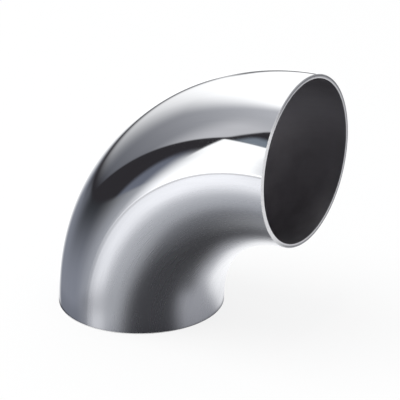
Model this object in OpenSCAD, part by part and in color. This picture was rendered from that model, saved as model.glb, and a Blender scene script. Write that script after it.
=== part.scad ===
// Ninety-degree butt-weld elbow of polished stainless tube, in millimetres.
// The run starts at the base face, on z = 0 and centred on the origin. It rises along +Z
// and turns towards +X, so the mouth faces +X. The bend lies in the plane y = 0.

/* [Tube] */
// Outside diameter of the tube
tube_od = 50.8; // [38:0.1:76.2]
// Thickness of the tube wall
wall = 1.2; // [1:0.1:3]

/* [Bend] */
// Radius of the bend, to the centreline of the tube
bend_r = 56; // [50:0.5:120]
// Straight length of tube at the base end
base_straight = 1; // [1:0.1:40]
// Straight length of tube at the mouth end
mouth_straight = 1; // [1:0.1:40]

/* [Ends] */
// Width of the bevel that breaks the outer edge of each end
edge_break = 0.3; // [0.1:0.05:0.8]

/* [Seam] */
// Width of the tube's lengthwise weld at the outer surface
seam_w = 1.2; // [0.8:0.1:2.4]
// Width of the same weld at its root, in the bore
seam_root_w = 0.8; // [0.5:0.1:2]
// Place of the weld round the tube, in degrees from the outside of the bend towards -Y
seam_at = 82; // [60:1:120]

/* [Hidden] */
$fn = 96;
quarter_turn = 90;
outer_r = tube_od / 2;
bore_r = outer_r - wall;
// How far the weld's own shape runs past the wall, inwards and outwards, before it is trimmed
seam_over = 0.2;
polished_steel = "#c9cbce";
weld_steel = "#b4b6ba";

// Carries a flat section of the tube along the whole run, from the base to the mouth. The
// section is drawn round the centreline: its +X is the outside of the bend, and its +Y
// becomes the elbow's -Y side.
module along_run() {
    linear_extrude(base_straight)
        rotate(180) children();
    translate([bend_r, 0, base_straight]) rotate([90, 0, 180])
        rotate_extrude(angle = quarter_turn)
            translate([bend_r, 0]) mirror([0, 1]) children();
    translate([bend_r, 0, base_straight + bend_r]) rotate([0, 90, 0])
        linear_extrude(mouth_straight)
            rotate(180) children();
}

// Full ring of the wall, as one flat section
module wall_section() {
    difference() {
        circle(outer_r);
        circle(bore_r);
    }
}

// Tapered section of the weld: wide outside, narrow at the root, past both faces of the wall
module weld_section() {
    taper = (seam_w - seam_root_w) / wall;
    in_w = seam_root_w - taper * seam_over;
    out_w = seam_w + taper * seam_over;
    in_at = bore_r - seam_over;
    out_at = outer_r + seam_over;
    rotate(seam_at)
        polygon([
            [in_at, -in_w / 2],
            [out_at, -out_w / 2],
            [out_at, out_w / 2],
            [in_at, in_w / 2]
        ]);
}

// Ring that takes the outer edge off an end, with the end's face on z = 0 and the tube above
module edge_cut() {
    rotate_extrude()
        polygon([
            [outer_r - edge_break, 0],
            [outer_r + edge_break, -edge_break],
            [outer_r + edge_break, edge_break],
            [outer_r, edge_break]
        ]);
}

// The run of tube with both ends dressed, before the weld is told from the wall
module dressed_run() {
    difference() {
        along_run() wall_section();
        edge_cut();
        translate([bend_r + mouth_straight, 0, base_straight + bend_r])
            rotate([0, -90, 0]) edge_cut();
    }
}

module tube_wall() {
    color(polished_steel)
        difference() {
            dressed_run();
            along_run() weld_section();
        }
}

module seam_weld() {
    color(weld_steel)
        intersection() {
            dressed_run();
            along_run() weld_section();
        }
}

tube_wall();
seam_weld();
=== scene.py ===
from math import atan2, cos, degrees, hypot, pi, radians, sin
import bmesh
import bpy
from mathutils import Matrix, Quaternion, Vector


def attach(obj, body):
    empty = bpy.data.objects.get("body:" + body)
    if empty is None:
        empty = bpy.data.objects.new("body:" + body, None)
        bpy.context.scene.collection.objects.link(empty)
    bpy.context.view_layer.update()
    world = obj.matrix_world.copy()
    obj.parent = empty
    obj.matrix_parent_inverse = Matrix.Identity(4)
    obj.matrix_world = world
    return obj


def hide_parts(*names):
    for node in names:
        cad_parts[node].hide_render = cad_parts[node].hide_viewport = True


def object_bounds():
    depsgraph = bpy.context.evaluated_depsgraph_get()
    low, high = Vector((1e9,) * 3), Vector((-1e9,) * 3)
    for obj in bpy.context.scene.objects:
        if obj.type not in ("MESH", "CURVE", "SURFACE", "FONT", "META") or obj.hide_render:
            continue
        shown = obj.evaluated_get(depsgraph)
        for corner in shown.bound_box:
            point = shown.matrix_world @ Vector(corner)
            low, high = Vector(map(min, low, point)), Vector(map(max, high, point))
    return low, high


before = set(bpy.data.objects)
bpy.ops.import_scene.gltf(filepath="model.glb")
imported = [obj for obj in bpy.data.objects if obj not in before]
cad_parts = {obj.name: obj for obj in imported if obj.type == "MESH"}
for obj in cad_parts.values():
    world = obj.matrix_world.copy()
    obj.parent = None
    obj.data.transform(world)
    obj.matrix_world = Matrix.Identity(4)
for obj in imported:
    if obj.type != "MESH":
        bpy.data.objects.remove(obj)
cadLow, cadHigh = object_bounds()
mm = 0.001
scene = bpy.context.scene

# the tube's run in millimetres; the bend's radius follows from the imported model
run = {
    "outerRadius": 25.4,
    "boreRadius": 24.2,
    "straight": 1.0,        # plain tube before and after the bend
    "seamAngle": 82.0,      # place of the weld, in degrees from the outside of the bend
}
run["bend"] = cadHigh.x / mm - run["straight"]


# unit vector from the elbow towards an azimuth and an elevation; azimuth 0 is -Y, 90 is +X
def towards(azimuth, elevation):
    a, e = radians(azimuth), radians(elevation)
    return Vector((sin(a) * cos(e), -cos(a) * cos(e), sin(e)))


camera = {
    "azimuth": 31.65,
    "elevation": 22.78,
    "roll": -0.175,
    "distance": 669.5,
    "target": (21.27, -0.03, 37.31),
    "lens": 202.84,
}


def placeCamera(spec):
    data = bpy.data.cameras.new("camera")
    data.lens = spec["lens"]
    eye = bpy.data.objects.new("camera", data)
    scene.collection.objects.link(eye)
    back = towards(spec["azimuth"], spec["elevation"])
    eye.location = (Vector(spec["target"]) + back * spec["distance"]) * mm
    eye.rotation_mode = "QUATERNION"
    level = (-back).to_track_quat("-Z", "Y")
    eye.rotation_quaternion = level @ Quaternion((0, 0, 1), radians(spec["roll"]))
    scene.camera = eye


placeCamera(camera)
print("camera placed")


# a socket that takes part in plain arithmetic
class Wire:
    def __init__(self, graph, socket):
        self.graph = graph
        self.socket = socket

    def __add__(self, other):
        return self.graph.maths("ADD", self, other)

    def __radd__(self, other):
        return self.graph.maths("ADD", other, self)

    def __sub__(self, other):
        return self.graph.maths("SUBTRACT", self, other)

    def __rsub__(self, other):
        return self.graph.maths("SUBTRACT", other, self)

    def __mul__(self, other):
        return self.graph.maths("MULTIPLY", self, other)

    def __rmul__(self, other):
        return self.graph.maths("MULTIPLY", other, self)

    def __truediv__(self, other):
        return self.graph.maths("DIVIDE", self, other)

    def __pow__(self, other):
        return self.graph.maths("POWER", self, other)

    def __abs__(self):
        return self.graph.maths("ABSOLUTE", self)


# the node tree of a material or of the world, written node by node
class Graph:
    def __init__(self, owner):
        owner.use_nodes = True
        self.tree = owner.node_tree
        self.tree.nodes.clear()

    # adds a node, sets it up, feeds its sockets and gives a wire from one of its outlets
    def add(self, kind, settings=None, feeds=None, outlet=0):
        node = self.tree.nodes.new("ShaderNode" + kind)
        for key, value in (settings or {}).items():
            setattr(node, key, value)
        for key, value in (feeds or {}).items():
            if isinstance(value, Wire):
                self.tree.links.new(value.socket, node.inputs[key])
            else:
                node.inputs[key].default_value = value
        return Wire(self, node.outputs[outlet]) if len(node.outputs) else None

    def maths(self, operation, *terms):
        return self.add("Math", {"operation": operation}, dict(enumerate(terms)))

    # goes smoothly from start, where value is low, to end, where it is high
    def fade(self, value, low, high, start=0.0, end=1.0):
        feeds = {"Value": value, "From Min": low, "From Max": high,
                 "To Min": start, "To Max": end}
        return self.add("MapRange", {"interpolation_type": "SMOOTHSTEP"}, feeds)

    # comes in over the first two bounds and, where there are four, goes out over the others
    def window(self, value, bounds):
        share = self.fade(value, *bounds[:2])
        return share * self.fade(value, *bounds[2:]) if len(bounds) > 2 else share

    def length(self, x, y):
        return (x * x + y * y) ** 0.5

    def mixNumbers(self, share, first, second):
        return self.add("Mix", {"data_type": "FLOAT"}, {0: share, 2: first, 3: second})

    def mixColours(self, share, first, second):
        return self.add("Mix", {"data_type": "RGBA"}, {0: share, 6: first, 7: second},
                        outlet=2)

    # object coordinates in millimetres from a middle
    def place(self, middle=(0, 0, 0)):
        point = self.add("TexCoord", outlet=3)
        scaled = self.add("VectorMath", {"operation": "SCALE"}, {0: point, "Scale": 1 / mm})
        moved = self.add("VectorMath", {"operation": "SUBTRACT"}, {0: scaled, 1: middle})
        split = self.add("SeparateXYZ", feeds={0: moved})
        return [Wire(self, outlet) for outlet in split.socket.node.outputs]

    def noise(self, vector, scale, detail=2.0, roughness=0.55):
        return self.add("TexNoise", feeds={"Vector": vector, "Scale": scale,
                                           "Detail": detail, "Roughness": roughness})

    # metal whose colour, roughness and fine relief, in millimetres, vary over the surface
    def metal(self, colour, roughness, relief, metallic=1.0):
        bump = self.add("Bump", feeds={"Strength": 1.0, "Distance": mm, "Height": relief})
        shader = self.add("BsdfPrincipled", feeds={
            "Base Color": colour, "Metallic": metallic, "Roughness": roughness,
            "Normal": bump})
        self.add("OutputMaterial", feeds={"Surface": shader})


def newMaterial(name):
    material = bpy.data.materials.new(name)
    return material, Graph(material)


# puts a finished mesh into the scene as an object with its materials
def newPiece(name, mesh, materials):
    data = bpy.data.meshes.new(name)
    mesh.to_mesh(data)
    mesh.free()
    for material in materials:
        data.materials.append(material)
    piece = bpy.data.objects.new(name, data)
    scene.collection.objects.link(piece)
    return piece


# hides a piece from everything but what the metal mirrors
def showInMetalOnly(piece):
    piece.visible_camera = False
    piece.visible_diffuse = False
    piece.visible_transmission = False
    piece.visible_shadow = False


# where a point lies on the tube: distance along the run, the two offsets from the
# centreline, and the angle round the tube from the outside of the bend towards -Y
class TubePlace:
    def __init__(self, graph):
        x, y, z = graph.place()
        before = graph.maths("MAXIMUM", run["bend"] - x, 0.0)
        above = graph.maths("MAXIMUM", z - run["straight"], 0.0)
        self.graph = graph
        self.height = z
        self.sideways = y
        self.outward = graph.length(before, above) - run["bend"]
        self.along = graph.maths("ARCTAN2", above, before) * run["bend"]
        self.angle = graph.maths("ARCTAN2", 0.0 - y, self.outward) * (180 / pi)

    # noise drawn out along the run, which closes on itself round the tube
    def noise(self, scale, stretch, detail=2.0):
        feeds = {0: self.outward, 1: self.sideways, 2: self.along * stretch}
        return self.graph.noise(self.graph.add("CombineXYZ", feeds=feeds), scale, detail)


outsideFinish = {
    "mirrorColour": (0.925, 0.935, 0.95, 1),
    "satinColour": (0.83, 0.84, 0.87, 1),
    "dullColour": (0.6, 0.61, 0.63, 1),
    "mirrorRoughness": 0.05,
    "mirrorSpread": 0.02,
    "satinRoughness": 0.27,
    "satinSpread": 0.08,
    "satinFrom": 81.4,      # angle round the tube where the satin grain takes over
    "satinTo": 82.4,
    "blendBefore": 7.0,     # how much wider that change is near the base, in degrees
    "blendAfter": 4.0,
    "blendFrom": 25.0,      # distance along the run where the wide change gives way
    "blendTo": 62.0,
    "fineGrain": (3.0, 0.03),   # each noise has a scale, a stretch along the run and
    "broadGrain": (0.5, 0.08),  # sometimes a detail
    "wave": (0.07, 1.0, 1.0),
    "fineShare": 0.25,      # how much of the streaks is fine grain
    "streakShare": 0.3,     # how much the streaks dull the colour
    "waveDepth": 0.012,     # in millimetres, as the next two
    "mirrorDepth": 0.0002,
    "satinDepth": 0.0008,
    "seamColour": (0.42, 0.42, 0.43, 1),
    "seamHalf": 0.85,       # half the width of the line that shows along the weld, in degrees
    "seamCore": 0.3,        # share of it that is dark right across
    "seamBreaks": 0.5,      # how much the grain breaks it up
    "seamLoss": 0.85,       # how much of it is lost near the base
}


def outsideSteel(spec):
    material, graph = newMaterial("outsideSteel")
    at = TubePlace(graph)
    blend = graph.fade(at.along, spec["blendTo"], spec["blendFrom"])
    satin = graph.fade(abs(at.angle), spec["satinFrom"] - blend * spec["blendBefore"],
                       spec["satinTo"] + blend * spec["blendAfter"])
    fine = at.noise(*spec["fineGrain"])
    broad = at.noise(*spec["broadGrain"])
    wave = at.noise(*spec["wave"])
    streaks = fine * spec["fineShare"] + broad * (1 - spec["fineShare"])
    clean = graph.mixColours(satin, spec["mirrorColour"], spec["satinColour"])
    colour = graph.mixColours(streaks * spec["streakShare"], clean, spec["dullColour"])
    seamLine = graph.fade(abs(at.angle - run["seamAngle"]), spec["seamHalf"],
                          spec["seamHalf"] * spec["seamCore"])
    seamLine = seamLine * (1 - spec["seamBreaks"] + fine * spec["seamBreaks"]) \
        * (1 - blend * spec["seamLoss"])
    colour = graph.mixColours(seamLine, colour, spec["seamColour"])
    mirrorRough = spec["mirrorRoughness"] + (broad - 0.5) * spec["mirrorSpread"]
    satinRough = spec["satinRoughness"] + (streaks - 0.5) * spec["satinSpread"]
    grainDepth = graph.fade(satin, 0.0, 1.0, spec["mirrorDepth"], spec["satinDepth"])
    graph.metal(colour, graph.mixNumbers(satin, mirrorRough, satinRough),
                wave * spec["waveDepth"] + fine * grainDepth)
    return material


boreFinish = {
    "colour": (0.65, 0.635, 0.65, 1),
    "upperColour": (0.46, 0.445, 0.46, 1),  # darker high in the bend
    "upperFrom": 36,
    "upperTo": 78,
    "stainColour": (0.48, 0.465, 0.48, 1),
    "stainShare": 0.4,
    "cloud": (0.12, 1.0, 4.0),
    "cloudDepth": 0.02,
    "grain": (1.6, 0.05),
    "grainDepth": 0.01,
    "roughness": 0.5,
    "spread": 0.15,
}


def boreSteel(spec):
    material, graph = newMaterial("boreSteel")
    at = TubePlace(graph)
    cloud = at.noise(*spec["cloud"])
    drawn = at.noise(*spec["grain"])
    high = graph.fade(at.height, spec["upperFrom"], spec["upperTo"])
    colour = graph.mixColours(high, spec["colour"], spec["upperColour"])
    stain = graph.fade(cloud, 0.35, 0.65, 0.0, spec["stainShare"])
    colour = graph.mixColours(stain, colour, spec["stainColour"])
    graph.metal(colour, spec["roughness"] + (drawn - 0.5) * spec["spread"],
                drawn * spec["grainDepth"] + cloud * spec["cloudDepth"])
    return material


# the rims carry a painted highlight on their -Y side and painted shade on the rest of the way
# round
rim = {
    "highlightMiddle": 95,     # in degrees from the outside of the bend towards -Y
    "highlightHalf": 35,
    "shadedSideFrom": 68,
}


# share of painted shade at an angle round a rim: none round the -Y side, full further away
def rimPaintedShade(graph, angle):
    return graph.fade(abs(angle - rim["highlightMiddle"]), rim["highlightHalf"], rim["shadedSideFrom"])


endFinish = {
    "colour": (0.95, 0.95, 0.96, 1),
    "dullColour": (0.8, 0.8, 0.82, 1),
    # the next two colours are painted shade on the outer part of the faced end and along its
    # outer edge, away from the -Y side
    "paintedShadeColour": (0.55, 0.55, 0.57, 1),
    "edgeShadeColour": (0.16, 0.16, 0.17, 1),
    "faceShadeFrom": 24.4,     # these four are distances from the centreline
    "faceShadeTo": 24.65,
    "lineFrom": 24.75,
    "lineTo": 24.95,
    "lineLeast": 0.75,      # strength of the dark line of painted shade, before the grit is added
    "lineGrit": 0.3,
    "roughness": 0.33,
    "spread": 0.15,
    "metallic": 0.6,        # of the side with painted shade; the side with the painted highlight is less metallic, so it renders lighter
    "highlightMetallic": 0.2,
    "linesPerMm": 9.0,      # fine turning lines across the faced end
    "linesDepth": 0.001,
    "grit": (4.0, 1.0),
    "gritShare": 0.3,
    "gritDepth": 0.004,
}


def endSteel(spec):
    material, graph = newMaterial("endSteel")
    at = TubePlace(graph)
    radius = graph.length(at.outward, at.sideways)
    lines = graph.maths("SINE", radius * (2 * pi * spec["linesPerMm"]))
    grit = at.noise(*spec["grit"])
    colour = graph.mixColours(grit * spec["gritShare"], spec["colour"], spec["dullColour"])
    # the outer part of the face gets painted shade away from the -Y side
    shadedSide = rimPaintedShade(graph, at.angle)
    paintedFaceShade = graph.fade(radius, spec["faceShadeFrom"], spec["faceShadeTo"]) * shadedSide
    colour = graph.mixColours(paintedFaceShade, colour, spec["paintedShadeColour"])
    # a dark line of painted shade near the face's outer edge, broken up by the grit
    line = graph.fade(radius, spec["lineFrom"], spec["lineTo"]) * shadedSide \
        * (spec["lineLeast"] + grit * spec["lineGrit"])
    colour = graph.mixColours(line, colour, spec["edgeShadeColour"])
    # the painted highlight on the -Y side comes from less metal there
    graph.metal(colour, spec["roughness"] + (grit - 0.5) * spec["spread"],
                lines * spec["linesDepth"] + grit * spec["gritDepth"],
                graph.mixNumbers(shadedSide, spec["highlightMetallic"], spec["metallic"]))
    return material


edgeFinish = {
    "colour": (0.95, 0.95, 0.96, 1),
    "wornColour": (0.8, 0.8, 0.82, 1),
    # painted shade on the rounded edge away from the -Y side
    "paintedShadeColour": (0.5, 0.5, 0.52, 1),
    "roughness": 0.25,
    "spread": 0.2,
    "metallic": 0.55,
    # less metal on the -Y side, for a painted highlight
    "highlightMetallic": 0.2,
    "nicks": (1.3, 1.0, 3.0),
    "nicksDepth": 0.02,
}


def edgeSteel(spec):
    material, graph = newMaterial("edgeSteel")
    at = TubePlace(graph)
    nicks = at.noise(*spec["nicks"])
    colour = graph.mixColours(graph.fade(nicks, 0.4, 0.7), spec["colour"],
                              spec["wornColour"])
    # painted shade away from the -Y side and a painted highlight on it, through colour and
    # metallic
    shadedSide = rimPaintedShade(graph, at.angle)
    colour = graph.mixColours(shadedSide, colour, spec["paintedShadeColour"])
    graph.metal(colour, spec["roughness"] + (nicks - 0.5) * spec["spread"],
                nicks * spec["nicksDepth"],
                graph.mixNumbers(shadedSide, spec["highlightMetallic"], spec["metallic"]))
    return material


tubeMaterials = [outsideSteel(outsideFinish), boreSteel(boreFinish), endSteel(endFinish),
                 edgeSteel(edgeFinish)]
print("steel finishes written")

tubeShape = {
    "segments": 268,        # round the tube, so that the weld fills whole segments
    "weldSegments": 2,
    "rootShare": 0.67,      # width of the weld at its root, as a share of its outer width
    "bendSteps": 96,
    "outerEdge": 0.3,       # rounding of the ends' outer edges
    "outerEdgeSteps": 4,
    "boreEdge": 0.12,       # rounding of the ends' bore edges
    "boreEdgeSteps": 2,
    "sharpFrom": 50,        # angle between faces, in degrees, that stays a sharp edge
}


# angle round the base end, in degrees from the outside of the bend towards -Y
def baseAngle(point):
    return degrees(atan2(-point.y, -point.x))


# flat section of the tube at the base end, of the weld alone or of the wall without it
def baseSection(mesh, shape, weld):
    half = 180 * shape["weldSegments"] / shape["segments"]
    first = Matrix.Rotation(radians(90 + run["seamAngle"] - half), 4, "Z")
    for radius in (run["outerRadius"], run["boreRadius"]):
        bmesh.ops.create_circle(mesh, segments=shape["segments"], radius=radius * mm,
                                matrix=first)
    bmesh.ops.bridge_loops(mesh, edges=mesh.edges[:])
    spare = [face for face in mesh.faces
             if (abs(baseAngle(face.calc_center_median()) - run["seamAngle"]) < half) != weld]
    bmesh.ops.delete(mesh, geom=spare, context="FACES")
    # the weld narrows towards its root
    for side in (-1, 1):
        root = [vert for vert in mesh.verts
                if vert.co.length < (run["boreRadius"] + 0.5) * mm
                and abs(baseAngle(vert.co) - run["seamAngle"] - side * half) < half / 4]
        turn = -side * half * (1 - shape["rootShare"])
        bmesh.ops.rotate(mesh, verts=root, cent=(0, 0, 0),
                         matrix=Matrix.Rotation(radians(turn), 3, "Z"))


# rounds the edges that lie on both ends at one radius
def roundEnds(mesh, radius, width, steps):
    middle = Vector((0, 0, run["straight"] + run["bend"])) * mm
    edges = []
    for edge in mesh.edges:
        atBase = all(abs(v.co.z) < 1e-6 and abs(hypot(v.co.x, v.co.y) - radius * mm) < 1e-6
                     for v in edge.verts)
        atMouth = all(abs(v.co.x - cadHigh.x) < 1e-6
                      and abs(hypot(v.co.y, v.co.z - middle.z) - radius * mm) < 1e-6
                      for v in edge.verts)
        if atBase or atMouth:
            edges.append(edge)
    made = bmesh.ops.bevel(mesh, geom=edges, offset=width * mm, offset_type="OFFSET",
                           segments=steps, profile=0.5, affect="EDGES", material=-1)
    rounding = set(made["faces"])
    for face in rounding:
        for edge in face.edges:
            if sum(other in rounding for other in edge.link_faces) == 1:
                edge.smooth = False


# the vertices among what an operator gave back
def vertsOf(items):
    return [item for item in items if isinstance(item, bmesh.types.BMVert)]


def tubeLength(name, node, shape, weld):
    mesh = bmesh.new()
    baseSection(mesh, shape, weld)
    grown = bmesh.ops.extrude_face_region(mesh, geom=mesh.faces[:])["geom"]
    bmesh.ops.translate(mesh, vec=(0, 0, run["straight"] * mm), verts=vertsOf(grown))
    turned = bmesh.ops.spin(mesh, geom=grown, axis=(0, 1, 0), angle=radians(90),
                            cent=Vector((run["bend"], 0, run["straight"])) * mm,
                            steps=shape["bendSteps"], use_merge=False,
                            use_duplicate=False)["geom_last"]
    grown = bmesh.ops.extrude_face_region(mesh, geom=turned)["geom"]
    bmesh.ops.translate(mesh, vec=(run["straight"] * mm, 0, 0), verts=vertsOf(grown))
    bmesh.ops.recalc_face_normals(mesh, faces=mesh.faces[:])
    roundEnds(mesh, run["outerRadius"], shape["outerEdge"], shape["outerEdgeSteps"])
    roundEnds(mesh, run["boreRadius"], shape["boreEdge"], shape["boreEdgeSteps"])
    endDepth = 1.2 * shape["outerEdge"]
    for face in mesh.faces:
        face.smooth = True
        x, y, z = face.calc_center_median() / mm
        before, above = max(run["bend"] - x, 0), max(z - run["straight"], 0)
        radius = hypot(hypot(before, above) - run["bend"], y)
        end = max(-face.normal.z if z < endDepth else 0,
                  face.normal.x if x > cadHigh.x / mm - endDepth else 0)
        inside = radius < run["boreRadius"] + 0.2
        rounding = end > 0.1 and radius > run["outerRadius"] - shape["outerEdge"]
        face.material_index = 3 if rounding else 2 if end > 0.1 else 1 if inside else 0
    for edge in mesh.edges:
        if edge.calc_face_angle(0) > radians(shape["sharpFrom"]):
            edge.smooth = False
    piece = newPiece(name, mesh, tubeMaterials)
    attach(piece, "root")
    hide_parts(node)
    print(name, "made,", len(piece.data.polygons), "faces")


tubeLength("tubeWall", "tube_wall", tubeShape, False)
tubeLength("seamWeld", "seam_weld", tubeShape, True)

studio = {
    "floorColour": (0.86, 0.865, 0.87, 1),
    "mottleColour": (0.8, 0.8, 0.8, 1),
    "mottleScale": 18.0,
    "mottleShare": 0.06,
    "floorRadius": 4000.0,
    "floorDepth": -0.2,
    "floorGlow": 0.83,      # share of the white that the camera sees whatever the light
    "worldDiffuse": 0.7,    # plain level of the light that comes from all round
    "lampSize": 1.6,
    "lampPower": 24.0,
    "lampFrom": (-40, 68),  # azimuth and elevation
    "lampDistance": 2.0,
    "shadeDepth": -0.1,     # height of the foot's shade, and its size in millimetres
    "shadeRadius": 72.0,
    "contactTone": (0.1, 0.1, 0.11, 1),
    "contactReach": 1.3,
    "ringTone": (0.78, 0.78, 0.79, 1),
    "ringReach": 38.0,
    "patchTone": (0.55, 0.55, 0.56, 1),
    "patchMiddle": (-11.0, -42.0),
    "patchReach": 20.0,
}
white = (1, 1, 1, 1)


def flatDisc(radius, height):
    mesh = bmesh.new()
    bmesh.ops.create_circle(mesh, cap_ends=True, segments=96, radius=radius * mm,
                            matrix=Matrix.Translation((0, 0, height * mm)))
    return mesh


def makeFloor(spec):
    material, graph = newMaterial("paleFloor")
    path = graph.add("LightPath").socket.node.outputs
    mottle = graph.noise(graph.add("TexCoord", outlet=3), spec["mottleScale"], 3.0)
    paper = graph.mixColours(mottle * spec["mottleShare"], spec["floorColour"],
                             spec["mottleColour"])
    lit = graph.add("BsdfDiffuse", feeds={"Color": paper})
    glow = graph.add("Emission", feeds={"Color": white, "Strength": 1.0})
    share = Wire(graph, path["Is Camera Ray"]) * spec["floorGlow"]
    mixed = graph.add("MixShader", feeds={0: share, 1: lit, 2: glow})
    graph.add("OutputMaterial", feeds={"Surface": mixed})
    floor = newPiece("floor", flatDisc(spec["floorRadius"], spec["floorDepth"]), [material])
    floor.visible_glossy = False


def makeWorld(spec):
    world = bpy.data.worlds.new("world")
    scene.world = world
    graph = Graph(world)
    path = graph.add("LightPath").socket.node.outputs
    seen = graph.maths("MAXIMUM", Wire(graph, path["Is Camera Ray"]),
                       graph.maths("MAXIMUM", Wire(graph, path["Is Glossy Ray"]),
                                   Wire(graph, path["Is Transmission Ray"])))
    strength = graph.mixNumbers(seen, spec["worldDiffuse"], 1.0)
    shader = graph.add("Background", feeds={"Color": white, "Strength": strength})
    graph.add("OutputWorld", feeds={"Surface": shader})


def makeLamp(spec):
    data = bpy.data.lights.new("softLamp", "AREA")
    data.shape = "DISK"
    data.size = spec["lampSize"]
    data.energy = spec["lampPower"]
    lamp = bpy.data.objects.new("softLamp", data)
    scene.collection.objects.link(lamp)
    lamp.location = towards(*spec["lampFrom"]) * spec["lampDistance"]
    lamp.rotation_euler = lamp.location.to_track_quat("Z", "Y").to_euler()
    lamp.visible_glossy = False


# shade on the floor round the foot, which shows in the metal alone: darkest where the metal
# touches the floor, then a wide ring and one patch on the -Y side
def makeFootShade(spec):
    material, graph = newMaterial("footShade")
    x, y, z = graph.place()
    radius = graph.length(x, y)
    away = graph.fade(radius, run["outerRadius"], spec["ringReach"])
    near = graph.fade(abs(radius - run["outerRadius"]), 0.0, spec["contactReach"])
    patchX, patchY = spec["patchMiddle"]
    past = graph.fade(graph.length(x - patchX, y - patchY), 0.0, spec["patchReach"])
    shade = graph.mixColours(away, spec["ringTone"], white)
    shade = graph.mixColours(past, spec["patchTone"], shade)
    shade = graph.mixColours(near, spec["contactTone"], shade)
    clear = graph.add("BsdfTransparent", feeds={"Color": shade})
    graph.add("OutputMaterial", feeds={"Surface": clear})
    disc = newPiece("footShade", flatDisc(spec["shadeRadius"], spec["shadeDepth"]), [material])
    showInMetalOnly(disc)


makeFloor(studio)
makeWorld(studio)
makeLamp(studio)
makeFootShade(studio)

# a glowing sphere, seen only in the metal, with what stands round the elbow painted on it as
# tones for the metal to reflect
tent = {
    "middle": (28.0, 0.0, 40.0),
    "radius": 3000.0,
    "facing": 220,          # azimuths are counted from here, 180 degrees either way
    "white": (1.18, 1.18, 1.18, 1),
    "ceiling": (1.05, 1.06, 1.08, 1),
    "sheetLow": (0.106, 0.111, 0.13, 1),
    "sheetHigh": (0.49, 0.495, 0.525, 1),
    "sheetBright": (0.555, 0.555, 0.58, 1),
    "black": (0.03, 0.028, 0.032, 1),
    "skirting": (0.1, 0.1, 0.11, 1),
    "wedge": (0.2, 0.23, 0.27, 1),
    "boxShade": (0.145, 0.158, 0.2, 1),
    "floorFar": (0.034, 0.036, 0.041, 1),
    "floorNear": (0.23, 0.243, 0.285, 1),
    "floorGlare": (1.4, 1.4, 1.42, 1),
    "floorPale": (1.22, 1.22, 1.22, 1),
    "floorRight": (0.39, 0.395, 0.42, 1),
    "floorFront": (0.5, 0.51, 0.535, 1),
    "footSide": (0.13, 0.132, 0.14, 1),
    "footFront": (0.145, 0.148, 0.16, 1),
    "footBright": (0.34, 0.345, 0.355, 1),
    "footBehind": (0.62, 0.625, 0.65, 1),
    "room": (0.055, 0.055, 0.06, 1),
    "wallRight": (0.22, 0.225, 0.235, 1),
    "under": (0.053, 0.053, 0.056, 1),
    # azimuths over which each part comes in and, where there are four, goes out again
    "across": {
        "sheetBright": (289, 310),
        "wallRight": (196, 182),
        "roomRight": (95, 70),
        "roomLeft": (334, 344),
        "flag": (266, 270, 336, 333),
        "stripe": (340, 334),
        "boxShade": (300, 306),
        "boxUpper": (314.4, 315.8),
        "boxLower": (310, 320.5),
        "boxEnd": (337, 331),
        "line": (214, 222, 304, 290),
        "lineBlack": (226, 258),
        "lineFoot": (228, 240, 262, 250),
        "lineEnd": (188, 204, 221, 215),
        "floorFar": (240, 275, 322, 297),
        "floorPale": (247, 225),
        "floorRight": (170, 140),
        "floorFront": (285, 335),
        "floorGlare": (311, 323, 345, 331),
        "footBright": (252, 284),
        "footFront": (298, 322),
        "footBehind": (246, 200),
        "footRight": (160, 108),
        "raisedBehind": (190, 212),
        "raisedFront": (300, 325),
        "frontRight": (100, 72),
        "frontLeft": (348, 378),
    },
    # elevations, in the same way
    "up": {
        "sheetBright": (58, 38),
        "stripe": (26, 28),
        "wedge": (38, 32),
        "boxLow": (18, 6),
        "boxShade": (-22, -8),
        "boxTop": (27.6, 26.2),
        "ceiling": (64, 78),
        "floorFar": (-22, -4),
        "floorGlare": (-34, -20),
        "foot": (-49, -61),
        "under": (-54, -83),
    },
    # slanting lines, in degrees of elevation and azimuth and their quotients
    "sheetRise": 60,        # elevation at which the sheet has its high tone
    "wallFrom": 272,
    "wallLean": (30, 0.6),
    "wallTo": 207,
    "wallTilt": 0.93,
    "flagFrom": 273,        # start and width of the flag, and the curve of its top
    "flagWidth": 40,
    "flagLift": 0.8,
    "flagRise": 29.6,
    "flagBow": 2.4,
    "flagSoft": (1.0, -1.2),
    "stripeFrom": 314,
    "stripeFoot": 28,
    "stripeLean": 0.38,
    "stripeSoft": (-0.5, 2.0),
    "wedgeSoft": (3.0, 8.0),
    "shadeLean": 0.5,
    "lineDepth": 3.2,       # the dark line lies this far under the level of the middle
    "lineTurn": 250,
    "lineClimb": 0.23,
    "lineHalf": 10.5,
    "lineFootSoft": (-7, -1, 3, 0),
    "lineFootShare": 0.8,
    "endHeight": 2,
    "endFrom": 210,
    "endClimb": 0.72,
    "endHalf": 6,
    "paleFrom": -25,
    "paleLean": 0.5,
    "rightLean": (-42, 0.8),
    "raiseBehind": 3,
    "raiseFront": 4,
    "groundSoft": (-0.2, -2.4),
}


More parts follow.
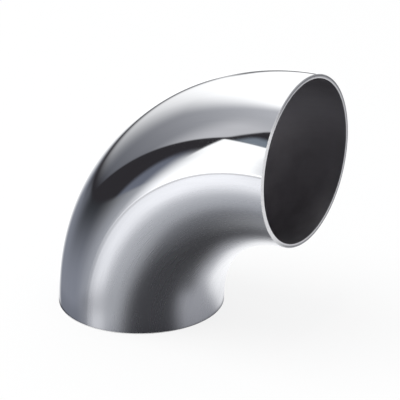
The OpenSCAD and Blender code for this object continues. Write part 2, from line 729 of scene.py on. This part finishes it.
def tentTone(graph, spec):
    x, y, z = graph.place(spec["middle"])
    forward, side = towards(spec["facing"], 0), towards(spec["facing"] + 90, 0)
    turned = graph.maths("ARCTAN2", x * side.x + y * side.y, x * forward.x + y * forward.y)
    azimuth = spec["facing"] + turned * (180 / pi)
    height = graph.maths("ARCTAN2", z, graph.length(x, y)) * (180 / pi)

    def across(name, value=azimuth):
        return graph.window(value, spec["across"][name])

    def up(name, value=height):
        return graph.window(value, spec["up"][name])

    def lay(tone, share, name):
        return graph.mixColours(share, tone, spec[name])

    # what a slanting line gains above a start
    def gain(value, start, slope):
        return graph.maths("MAXIMUM", value - start, 0.0) * slope

    # grey sheet on the left, brighter beside the softbox, with the white wall behind it
    tone = graph.mixColours(height / spec["sheetRise"], spec["sheetLow"], spec["sheetHigh"])
    tone = lay(tone, across("sheetBright") * up("sheetBright"), "sheetBright")
    wallFrom = spec["wallFrom"] + gain(height, *spec["wallLean"])
    wallTo = height * spec["wallTilt"] + spec["wallTo"]
    tone = lay(tone, graph.fade(azimuth, wallFrom, wallTo), "white")

    # right-hand wall and the dark room behind the camera
    tone = lay(tone, across("wallRight"), "wallRight")
    room = graph.maths("MAXIMUM", across("roomRight"), across("roomLeft"))
    tone = lay(tone, room, "room")

    # black flag under the sheet's slanting edge, then its narrow part beside the sheet
    part = (azimuth - spec["flagFrom"]) / spec["flagWidth"]
    top = part * spec["flagRise"] - part * part * spec["flagBow"] + spec["flagLift"]
    tone = lay(tone, graph.fade(height - top, *spec["flagSoft"]) * across("flag"), "black")
    past = azimuth - spec["stripeFrom"] - (height - spec["stripeFoot"]) * spec["stripeLean"]
    beside = graph.fade(past, *spec["stripeSoft"]) * up("stripe") * across("stripe")
    below = graph.fade(past, *spec["wedgeSoft"]) * up("wedge")
    stripe = graph.mixColours(below, spec["black"], spec["wedge"])
    tone = graph.mixColours(beside, tone, stripe)

    # key softbox; its lower left edge is soft, with a bluish half shade before it
    low = up("boxLow")
    leaning = azimuth - height * spec["shadeLean"]
    tone = lay(tone, across("boxShade", leaning) * low * up("boxShade"), "boxShade")
    left = graph.mixNumbers(low, across("boxUpper"), across("boxLower"))
    tone = lay(tone, left * up("boxTop") * across("boxEnd"), "white")

    # white ceiling
    tone = lay(tone, up("ceiling"), "ceiling")

    # dark line where the wall meets the floor, which climbs towards the back
    climb = graph.maths("MAXIMUM", spec["lineTurn"] - azimuth, 0.0) * spec["lineClimb"]
    level = height + spec["lineDepth"] - climb
    line = graph.fade(abs(level), spec["lineHalf"], 0.0) ** 2 * across("line")
    dark = graph.mixColours(across("lineBlack"), spec["skirting"], spec["black"])
    tone = graph.mixColours(line, tone, dark)

    # the floor, by the direction in which it is seen: first as far as 50 degrees down
    ground = graph.mixColours(across("floorFar") * up("floorFar"), spec["floorNear"],
                              spec["floorFar"])
    pale = azimuth + graph.maths("MINIMUM", height - spec["paleFrom"], 0.0) * spec["paleLean"]
    ground = lay(ground, across("floorPale", pale), "floorPale")
    right = azimuth - gain(height, *spec["rightLean"])
    ground = lay(ground, across("floorRight", right), "floorRight")
    ground = lay(ground, across("floorFront"), "floorFront")
    ground = lay(ground, across("floorGlare") * up("floorGlare"), "floorGlare")

    # then steeper down, round the foot of the elbow, where the floor's shade is painted in as
    # darker tones
    foot = graph.mixColours(across("footBright"), spec["footSide"], spec["footBright"])
    foot = lay(foot, across("footFront"), "footFront")
    foot = lay(foot, across("footBehind"), "footBehind")
    foot = lay(foot, across("footRight"), "footSide")
    depth = height - across("raisedBehind") * spec["raiseBehind"] \
        - across("raisedFront") * spec["raiseFront"]
    ground = graph.mixColours(up("foot", depth), ground, foot)
    front = graph.maths("MAXIMUM", across("frontRight"), across("frontLeft"))
    ground = lay(ground, front, "room")
    ground = lay(ground, up("under"), "under")
    tone = graph.mixColours(graph.fade(level, *spec["groundSoft"]), tone, ground)

    # the dark line's lower half, and its end right behind the elbow, where it drops again
    lineFoot = graph.window(level, spec["lineFootSoft"]) * across("lineFoot")
    tone = graph.mixColours(lineFoot * spec["lineFootShare"], tone, dark)
    drop = height - spec["endHeight"] - (azimuth - spec["endFrom"]) * spec["endClimb"]
    lineEnd = graph.fade(abs(drop), spec["endHalf"], 0) * across("lineEnd")
    return lay(tone, lineEnd, "skirting")


def makeTent(spec):
    material, graph = newMaterial("studioTent")
    glow = graph.add("Emission", feeds={"Color": tentTone(graph, spec), "Strength": 1.0})
    graph.add("OutputMaterial", feeds={"Surface": glow})
    material.cycles.emission_sampling = "NONE"
    mesh = bmesh.new()
    bmesh.ops.create_icosphere(mesh, subdivisions=4, radius=spec["radius"] * mm,
                               matrix=Matrix.Translation(Vector(spec["middle"]) * mm))
    surround = newPiece("studioTent", mesh, [material])
    showInMetalOnly(surround)


makeTent(tent)
print("studio built")

scene.view_settings.view_transform = "Standard"
